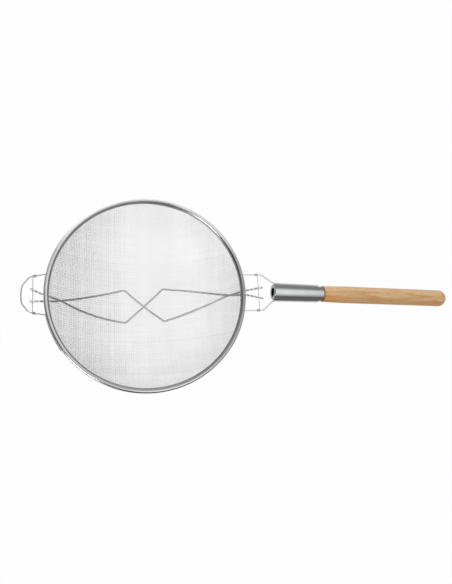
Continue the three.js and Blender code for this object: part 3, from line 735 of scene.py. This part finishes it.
def ferrule_radius(along):
    return mix(FERRULE_FRONT_RADIUS, FERRULE_REAR_RADIUS, along / FERRULE_LENGTH)


def make_ferrule(finish):
    """The tapered tube, with its front edge rolled in round a hole."""
    hole = FERRULE_HOLE_RADIUS
    rear = FERRULE_REAR_RADIUS
    lip = FERRULE_LIP
    outline = [
        (hole, FERRULE_WALL),
        (hole, FERRULE_WALL / 2),
        *arc(ferrule_radius(lip) - lip, lip, lip, -90, 0),
        (rear, FERRULE_LENGTH),
        (rear - FERRULE_WALL, FERRULE_LENGTH),
        (ferrule_radius(2 * lip) - FERRULE_WALL, 2 * lip),
        (FERRULE_FRONT_RADIUS - lip - FERRULE_WALL, lip),
    ]
    piece = turned("ferrule_tube", outline, TURNING_FRAME, finish, TURNED_STEPS, closed=True)
    stands_for(piece, "ferrule")


def make_handle(finish):
    """The turned handle: a tenon in the ferrule, an eased shoulder, a neck, a straight grip and a dome."""
    tenon_front = FERRULE_LENGTH - HANDLE_TENON
    shoulder = FERRULE_LENGTH + SEAT_GAP
    dome_foot = FERRULE_LENGTH + HANDLE_LENGTH - HANDLE_DOME
    inside = FERRULE_WALL + SEAT_GAP
    dome = [(HANDLE_RADIUS * math.cos(a), dome_foot + HANDLE_DOME * math.sin(a))
            for a in (math.pi / 2 * i / DOME_STEPS for i in range(DOME_STEPS))]
    outline = [
        (0, tenon_front),
        (ferrule_radius(tenon_front) - inside, tenon_front),
        (ferrule_radius(shoulder) - inside, shoulder),
        *arc(HANDLE_NECK_RADIUS - HANDLE_EDGE, shoulder + HANDLE_EDGE, HANDLE_EDGE, -90, 0, 5),
        (HANDLE_RADIUS, shoulder + HANDLE_NECK_LENGTH),
        *dome,
        (0, dome_foot + HANDLE_DOME),
    ]
    piece = turned("handle_turned", outline, TURNING_FRAME, finish, TURNED_STEPS)
    stands_for(piece, "handle")


# Woven bowls

def cloth_quarter(pitch, radius, reach):
    """Crossings of a cloth pressed onto a sphere: every cell keeps its four sides but may slant.
    From the two middle wires outwards, each new crossing mirrors the one before it in the plane
    through the sphere's centre and the two crossings between them."""
    angle = 2 * math.asin(pitch / (2 * radius))
    count = math.ceil(reach / angle) + 2
    net = [[None] * count for _ in range(count)]
    for i in range(count):
        net[i][0] = Vector((math.sin(i * angle), 0, -math.cos(i * angle)))
        net[0][i] = Vector((0, math.sin(i * angle), -math.cos(i * angle)))
    for i in range(1, count):
        for j in range(1, count):
            before, beside, old = net[i - 1][j], net[i][j - 1], net[i - 1][j - 1]
            if before is None or beside is None or before.angle(beside) < angle / 4:
                break
            plane = before.cross(beside).normalized()
            crossing = old - 2 * old.dot(plane) * plane
            net[i][j] = crossing
            if math.acos(-crossing.z) > reach + 2 * angle:
                break
    return net


def cloth_surface(direction, radius, inset):
    """Point and outward direction on a bowl's middle surface, the neck included."""
    polar = math.acos(-direction.z)
    neck_angle = math.acos((BOWL_CENTRE - NECK_FOOT) / radius)
    if polar <= neck_angle:
        return Vector((0, 0, BOWL_CENTRE)) + radius * direction, direction
    outward = Vector((direction.x, direction.y, 0)).normalized()
    return neck_at(inset) * outward + Vector((0, 0, NECK_FOOT + (polar - neck_angle) * radius)), outward


def cloth_wires(cloth, warp):
    """The wires of one cloth that run one way: for each wire, its points, outward ways and weave."""
    radius = BOWL_RADIUS - cloth["inset"]
    neck_angle = math.acos((BOWL_CENTRE - NECK_FOOT) / radius)
    reach = neck_angle + (MESH_EDGE - NECK_FOOT) / radius
    net = cloth_quarter(cloth["pitch"], radius, reach)
    wires = []
    for row in range(-len(net) + 1, len(net)):
        half = []
        for step in range(len(net)):
            i, j = (step, abs(row)) if warp else (abs(row), step)
            crossing = net[i][j]
            if crossing is None:
                break
            polar = math.acos(-crossing.z)
            if polar > reach:
                if half:
                    last = half[-1][0]
                    share = (reach - math.acos(-last.z)) / (polar - math.acos(-last.z))
                    half.append((last.slerp(crossing, share), step))
                break
            half.append((crossing, step))
        if len(half) < 2:
            continue
        side = -1 if row < 0 else 1
        wire = []
        for way, part in ((-1, half[:0:-1]), (1, half)):
            for crossing, step in part:
                flips = (way, side, 1) if warp else (side, way, 1)
                direction = Vector(c * f for c, f in zip(crossing, flips))
                over = 1 if (step + row + warp) % 2 else -1
                wire.append((*cloth_surface(direction, radius, cloth["inset"]), over))
        wires.append(wire)
    return wires


def make_cloth(name, node, cloth, tree, finish):
    """Both ways of wire of one cloth, as two pieces that cross over and under each other."""
    for way, warp in (("warp", True), ("weft", False)):
        wires = cloth_wires(cloth, warp)
        mesh = paths_mesh(name, [[point for point, _, _ in wire] for wire in wires])
        turn = RIM_FRAME.to_3x3().normalized()
        knots = [knot for wire in wires for knot in wire]
        outward = mesh.attributes.new("outward", "FLOAT_VECTOR", "POINT")
        outward.data.foreach_set("vector", [c for _, out, _ in knots for c in turn @ out])
        weave = mesh.attributes.new("weave", "FLOAT", "POINT")
        weave.data.foreach_set("value", [over for _, _, over in knots])
        piece = grown(f"{name}_{way}", mesh, tree, {
            "Wire Diameter": cloth["wire"] * MM, "Weave Height": cloth["wire"] * MM / 2,
            "Sides": cloth["sides"], "Steps": cloth["steps"], "Seed": cloth["seed"] + warp,
            "Finish": finish})
        stands_for(piece, node)


# Wire routes

def bend(points, radius, sharp=12, steps=8):
    """Rounds the sharp corners of a bent wire."""
    bent = [points[0]]
    for before, corner, after in zip(points, points[1:], points[2:]):
        arriving = corner - before
        leaving = after - corner
        if math.degrees(arriving.angle(leaving)) < sharp:
            bent.append(corner)
            continue
        cut = min(radius, arriving.length / 2, leaving.length / 2)
        start = corner - cut * arriving.normalized()
        stop = corner + cut * leaving.normalized()
        for i in range(steps + 1):
            t = i / steps
            bent.append((1 - t) ** 2 * start + 2 * t * (1 - t) * corner + t ** 2 * stop)
    bent.append(points[-1])
    return bent


def flowing(points, steps):
    """A smooth line through points, by centripetal Catmull-Rom curves."""
    ends = [2 * points[0] - points[1], *points, 2 * points[-1] - points[-2]]
    line = [points[0]]
    for p0, p1, p2, p3 in zip(ends, ends[1:], ends[2:], ends[3:]):
        t1 = math.sqrt((p1 - p0).length)
        t2 = t1 + math.sqrt((p2 - p1).length)
        t3 = t2 + math.sqrt((p3 - p2).length)
        for i in range(1, steps + 1):
            t = mix(t1, t2, i / steps)
            a1 = p0.lerp(p1, t / t1)
            a2 = p1.lerp(p2, (t - t1) / (t2 - t1))
            a3 = p2.lerp(p3, (t - t2) / (t3 - t2))
            b1 = a1.lerp(a2, t / t2)
            b2 = a2.lerp(a3, (t - t1) / (t3 - t1))
            line.append(b1.lerp(b2, (t - t1) / (t2 - t1)))
    return line


def evenly(line, step):
    """Points at even steps along a line, its two ends included."""
    walked = [0]
    for here, after in zip(line, line[1:]):
        walked.append(walked[-1] + (after - here).length)
    count = math.ceil(walked[-1] / step)
    points = []
    at = 0
    for i in range(count + 1):
        goal = walked[-1] * i / count
        while at < len(line) - 2 and walked[at + 1] < goal:
            at += 1
        points.append(line[at].lerp(line[at + 1], (goal - walked[at]) / (walked[at + 1] - walked[at])))
    return points


def eased(points, reach):
    """The same line with its bends made rounder: each point moves to the middle of its neighbours."""
    line = []
    for i in range(len(points)):
        near = min(reach, i, len(points) - 1 - i)
        group = points[i - near:i + near + 1]
        line.append(sum(group, Vector()) / len(group))
    return line


def coil(start, along, radius, pitch, turns, outward, steps=20):
    """Turns of a wire round an axis line, starting under it and walking along it."""
    points = []
    for i in range(round(turns * steps) + 1):
        angle = 2 * math.pi * i / steps
        points.append(start + along * (pitch * i / steps)
                      - Vector((0, 0, radius * math.cos(angle))) + outward * (radius * math.sin(angle)))
    return points


def rim_run(seat, start, stop):
    """Points of a wire that lies along the rim, between two lengths from the middle of its legs."""
    radius, height = seat
    count = math.ceil(abs(stop - start) / RIM_RUN_STEP)
    angles = [mix(start, stop, i / count) / radius for i in range(count + 1)]
    return [Vector((radius * math.cos(a), radius * math.sin(a), height)) for a in angles]


HOOK_ROOT = HOOK_SEAT[0] * math.asin(HOOK_ROOT_HALF / HOOK_SEAT[0])
HOOK_TIP_X = RIM_RADIUS + HOOK_REACH
HOOK_SHOULDER_X = HOOK_TIP_X - HOOK_SHOULDER
HOOK_CROSS_X = RIM_RADIUS + HOOK_CROSS_OFFSET
FORK_ROOT = FORK_SEAT[0] * math.asin(FORK_HALF / FORK_SEAT[0])
FORK_CROSS_X = RIM_RADIUS + FORK_CROSS_OFFSET
TURN_HOOK = Matrix.Rotation(math.pi + math.radians(HOOK_TURN), 3, "Z")


def hook_route():
    """The hook is drawn as if it pointed along +X, and then turned round."""
    z = HOOK_SEAT[1]
    blunt = HOOK_TIP_X - HOOK_TIP_BOW
    route = bend([
        *rim_run(HOOK_SEAT, -HOOK_BACK_RUN, -HOOK_ROOT),
        Vector((HOOK_SHOULDER_X, -HOOK_HALF, z)),
        Vector((blunt, -HOOK_TIP_HALF, z)),
        Vector((HOOK_TIP_X, 0, z)),
        Vector((blunt, HOOK_TIP_HALF, z)),
        Vector((HOOK_SHOULDER_X, HOOK_HALF, z)),
        *rim_run(HOOK_SEAT, HOOK_ROOT, HOOK_FRONT_RUN),
    ], WIRE_BEND)
    return [TURN_HOOK @ p for p in route]


def hook_half_at(x):
    root_x = math.sqrt(HOOK_SEAT[0] ** 2 - HOOK_ROOT_HALF ** 2)
    return mix(HOOK_ROOT_HALF, HOOK_HALF, (x - root_x) / (HOOK_SHOULDER_X - root_x))


def fork_route(side):
    """One wire of the fork, from under the rim to the side of the ferrule."""
    rise = FORK_BACK_RISE if side > 0 else FORK_FRONT_RISE

    def beside_ferrule(along):
        reach = ferrule_radius(along) + SEAT_GAP + FORK_WIRE / 2
        return HANDLE_FRAME @ Vector((along, side * math.sqrt(reach ** 2 - rise ** 2), rise))

    return bend([
        *rim_run(FORK_SEAT, side * FORK_RUN, side * FORK_ROOT),
        Vector((RIM_RADIUS + FORK_STRAIGHT, side * FORK_HALF, FORK_SEAT[1])),
        beside_ferrule(0),
        beside_ferrule(FORK_ON_FERRULE / 2),
        beside_ferrule(FORK_ON_FERRULE),
    ], WIRE_BEND)


def cross_drop(leg):
    return (leg + CROSS_WIRE) / 2 + TOUCH_GAP


def cross_route(x, half, height, leg, slope):
    """A thin wire under two legs, wrapped tightly round each leg at both ends."""
    pitch = CROSS_WIRE + TOUCH_GAP

    def end(side):
        along = Vector((-1, side * slope, 0)).normalized()
        return coil(Vector((x, side * half, height)), along, cross_drop(leg), pitch, CROSS_TURNS,
                    Vector((0, side, 0)))

    return [*reversed(end(-1)), *end(1)]


def hook_cross_route():
    slope = hook_half_at(HOOK_CROSS_X - 1) - hook_half_at(HOOK_CROSS_X)
    route = cross_route(HOOK_CROSS_X, hook_half_at(HOOK_CROSS_X), HOOK_SEAT[1], HOOK_WIRE, slope)
    return [TURN_HOOK @ p for p in route]


def fork_cross_route():
    return cross_route(FORK_CROSS_X, FORK_HALF, FORK_SEAT[1], FORK_WIRE, 0)


BRACE_CLEAR = BRACE_WIRE / 2 + SEAT_GAP
BRACE_STEP = BRACE_WIRE + SEAT_GAP
KINK_RADIUS = math.hypot(*BRACE_KINK)
CROSSING_X = RIM_RADIUS - BRACE_CROSSING_INSET


def brace_height(x, y, extra):
    """Height of a brace wire, which hangs clear of the bowl near its kinks and hugs it further out."""
    r = math.hypot(x, y)
    slack = smoothstep(r, KINK_RADIUS, CROSSING_X - BRACE_CROSSING_INSET)
    clear = BRACE_CLEAR + BRACE_KINK_GAP * (1 - slack) + extra
    return BOWL_CENTRE - math.sqrt((BOWL_RADIUS + clear) ** 2 - r ** 2)


def brace_half(side, turn, under, bulge, end, cross_x, cross_height, place):
    """The line that half of a brace follows, from the centre to the cross wire it is hung on."""
    spin = Matrix.Rotation(math.radians(BRACE_TURN), 3, "Z")
    kink = Vector((side * BRACE_KINK[0], turn * BRACE_KINK[1], 0))
    crossing = Vector((side * CROSSING_X, 0, 0))
    step = BRACE_STEP if under else 0
    points = []

    def lay(point, lift):
        points.append(Vector((point.x, point.y, brace_height(point.x, point.y, step * lift))))

    lay(Vector(), 1)
    for share in BRACE_TO_KINK["shares"]:
        lay(spin @ (kink * share), 1 - smoothstep(share, *BRACE_TO_KINK["lift"]))
    for share in BRACE_TO_CROSSING["shares"]:
        point = kink.lerp(crossing, share)
        point.y += turn * bulge * math.sin(math.pi * share)
        lay(spin @ point, smoothstep(share, *BRACE_TO_CROSSING["lift"]))
    rim_y = end["rim_shift"] - turn * end["rim_half"]
    end_y = end["shift"] - turn * end["half"]
    for share in BRACE_TO_RIM["shares"]:
        point = (spin @ crossing).lerp(place(RIM_RADIUS, rim_y, 0), share)
        lay(point, 1 - smoothstep(share, *BRACE_TO_RIM["lift"]))
    rim = place(RIM_RADIUS + BRACE_WIRE, rim_y, -(RIM_HEIGHT + BRACE_CLEAR))
    line = flowing([*points, rim, place(cross_x, end_y, cross_height)], BRACE_CURVE_STEPS)
    return eased(evenly(line, BRACE_POINT_STEP), BRACE_KINK_EASE)


def brace_strand(axis, way, eye):
    """One of the two strands of a doubled brace wire, from the centre to half of the eye at its end.
    They lie side by side in the bowl, twist near the rim and part round the cross wire."""
    step = (axis[1] - axis[0]).length
    first = math.radians(BRACE_EYE["lean"])
    turn = BRACE_HALF_TURNS * math.pi - first
    twist = BRACE_HALF_LAY * BRACE_HALF_TURNS
    strand = []
    for i, point in enumerate(axis):
        along = (axis[min(i + 1, len(axis) - 1)] - axis[max(i - 1, 0)]).normalized()
        side = along.cross(UP).normalized()
        from_cross = step * (len(axis) - 1 - i)
        angle = first + turn * min(from_cross / twist, 1)
        closed = smoothstep(from_cross, 0, BRACE_EYE["reach"])
        spread = mix(BRACE_EYE["half"], (BRACE_STRAND + TOUCH_GAP) / 2, closed)
        across = side * math.cos(angle) + side.cross(along) * math.sin(angle)
        strand.append(point + way * spread * across)
    middle = axis[-1] + eye * along
    for i in range(1, BRACE_EYE["steps"] + 1):
        angle = math.pi / 2 * i / BRACE_EYE["steps"]
        strand.append(middle + spread * (way * across * math.cos(angle) + along * math.sin(angle)))
    return strand


def brace_route(turn, under, bulge):
    """A whole brace: one wire from the hook's cross wire to the fork's and back beside itself."""
    hook_height = HOOK_SEAT[1] - cross_drop(HOOK_WIRE)
    fork_height = FORK_SEAT[1] - cross_drop(FORK_WIRE)
    hook_side = brace_half(-1, -turn, under, bulge, BRACE_HOOK_END, HOOK_CROSS_X, hook_height,
                           lambda x, y, z: TURN_HOOK @ Vector((x, -y, z)))
    fork_side = brace_half(1, turn, under, bulge, BRACE_FORK_END, FORK_CROSS_X, fork_height,
                           lambda x, y, z: Vector((x, y, z)))
    hook_eye, fork_eye = BRACE_HOOK_END["eye"], BRACE_FORK_END["eye"]
    out = [*reversed(brace_strand(hook_side, 1, hook_eye)), *brace_strand(fork_side, -1, fork_eye)[1:]]
    back = [*reversed(brace_strand(fork_side, 1, fork_eye)), *brace_strand(hook_side, -1, hook_eye)[1:]]
    return [*out, *back[1:-1]]


def make_wires(finishes):
    tree = drawn_wire_tree()
    bright, grey, brace_finish = (finishes[name] for name in ("bright_wire", "grey_wire", "brace_steel"))
    for node, route, diameter, finish in (
        ("hook_wire", hook_route(), HOOK_WIRE, grey),
        ("hook_cross_wire", hook_cross_route(), CROSS_WIRE, grey),
        ("fork_wire_back", fork_route(1), FORK_WIRE, bright),
        ("fork_wire_front", fork_route(-1), FORK_WIRE, bright),
        ("fork_cross_wire", fork_cross_route(), CROSS_WIRE, bright),
        ("brace_wire_a", brace_route(1, False, BRACE_BULGE["a"]), BRACE_STRAND, brace_finish),
        ("brace_wire_b", brace_route(-1, True, BRACE_BULGE["b"]), BRACE_STRAND, brace_finish),
    ):
        piece = grown(f"{node}_drawn", paths_mesh(node, [route]), tree,
                      {"Diameter": diameter * MM, "Sides": WIRE_SIDES, "Finish": finish})
        stands_for(piece, node)


# Studio

def make_camera():
    place = RIM_FRAME @ Vector(CAMERA_PLACE)
    forward = (RIM_FRAME @ Vector(CAMERA_TARGET) - place).normalized()
    level = (Vector((1, 0, 0)) - forward.x * forward).normalized()
    right = Matrix.Rotation(math.radians(CAMERA_ROLL), 3, forward) @ level
    data = bpy.data.cameras.new("photo_camera")
    data.sensor_fit = "HORIZONTAL"
    data.sensor_width = SENSOR_WIDTH
    data.lens = SENSOR_WIDTH * FOCAL_PIXELS / PHOTO_WIDTH
    camera = bpy.data.objects.new("photo_camera", data)
    turn = Matrix((right, right.cross(forward), -forward)).transposed()
    camera.matrix_world = Matrix.Translation(place) @ turn.to_4x4()
    bpy.context.scene.collection.objects.link(camera)
    bpy.context.scene.camera = camera


def make_floor():
    """A white floor that shows as plain white to the eye and to metal, and keeps a soft shadow."""
    mesh = bpy.data.meshes.new("floor")
    half = FLOOR_SIZE / 2
    corners = [(-half, -half, 0), (half, -half, 0), (half, half, 0), (-half, half, 0)]
    mesh.from_pydata(corners, [], [(0, 1, 2, 3)])
    material = bpy.data.materials.new("white_floor")
    material.use_nodes = True
    tree = material.node_tree
    tree.nodes.clear()
    paint = add_node(tree, "ShaderNodeBsdfDiffuse", {"Color": FLOOR_PAINT})
    glow = add_node(tree, "ShaderNodeEmission", {"Color": (1, 1, 1, 1), "Strength": 1})
    seen = add_node(tree, "ShaderNodeMixShader", {0: FLOOR_GLOW, 1: paint.outputs[0], 2: glow.outputs[0]})
    ray = add_node(tree, "ShaderNodeLightPath").outputs
    shown = maths(tree, "MAXIMUM", ray["Is Camera Ray"], ray["Is Glossy Ray"])
    shown = maths(tree, "MAXIMUM", shown, ray["Is Transmission Ray"])
    surface = add_node(tree, "ShaderNodeMixShader", {0: shown, 1: paint.outputs[0], 2: seen.outputs[0]})
    add_node(tree, "ShaderNodeOutputMaterial", {"Surface": surface.outputs[0]})
    mesh.materials.append(material)
    floor = bpy.data.objects.new("floor", mesh)
    bpy.context.scene.collection.objects.link(floor)


def make_light():
    """A dim studio with a broad soft light overhead, a weaker one at the back and a softbox."""
    world = bpy.data.worlds.new("studio")
    world.use_nodes = True
    tree = world.node_tree
    tree.nodes.clear()
    ray = add_node(tree, "ShaderNodeTexCoord").outputs["Generated"]
    narrow = stretched(tree, ray, (KEY_NARROWING, 1, 1))
    narrow = add_node(tree, "ShaderNodeVectorMath", {0: narrow}, operation="NORMALIZE").outputs[0]
    key = Vector((KEY_LIGHT[0] * KEY_NARROWING, *KEY_LIGHT[1:])).normalized()
    facing = dot(tree, narrow, key)
    ramp = add_node(tree, "ShaderNodeValToRGB", {"Fac": facing})
    while len(ramp.color_ramp.elements) < len(KEY_STOPS):
        ramp.color_ramp.elements.new(0.5)
    for element, (position, tone) in zip(ramp.color_ramp.elements, KEY_STOPS):
        element.position = position
        element.color = (tone, tone, tone, 1)
    glow = remap(tree, dot(tree, ray, BACK_LIGHT), *BACK_REACH, 0, BACK_GLOW)
    level = blend_colour(tree, 1, ramp.outputs["Color"], glow, "ADD")
    sky = add_node(tree, "ShaderNodeBackground", {"Color": level, "Strength": 1})
    add_node(tree, "ShaderNodeOutputWorld", {"Surface": sky.outputs[0]})
    bpy.context.scene.world = world
    lamp = bpy.data.lights.new("softbox", "AREA")
    lamp.shape = "SQUARE"
    lamp.size = SOFTBOX["size"]
    lamp.energy = SOFTBOX["power"]
    softbox = bpy.data.objects.new("softbox", lamp)
    place = Vector(SOFTBOX["place"])
    softbox.matrix_world = Matrix.Translation(place) @ place.to_track_quat("Z", "Y").to_matrix().to_4x4()
    bpy.context.scene.collection.objects.link(softbox)


bpy.context.scene.view_settings.view_transform = "Standard"
make_camera()
make_floor()
make_light()

wire_finishes = {name: drawn_steel(name, tone) for name, tone in WIRE_TONES.items()}
cloth_tree = woven_cloth_tree()
coarse_wire = woven_steel("coarse_wire", OUTER_CLOTH["painted_shade"])
fine_wire = woven_steel("fine_wire", INNER_CLOTH["painted_shade"])
make_rim(tinned_band())
make_cloth("outer_cloth", "outer_mesh", OUTER_CLOTH, cloth_tree, coarse_wire)
make_cloth("inner_cloth", "inner_mesh", INNER_CLOTH, cloth_tree, fine_wire)
make_wires(wire_finishes)
make_ferrule(ferrule_steel())
make_handle(turned_wood())

hoop = frame["nodes"]["rim_hoop_wire"]
hoop.data.materials.clear()
hoop.data.materials.append(wire_finishes["bright_wire"])
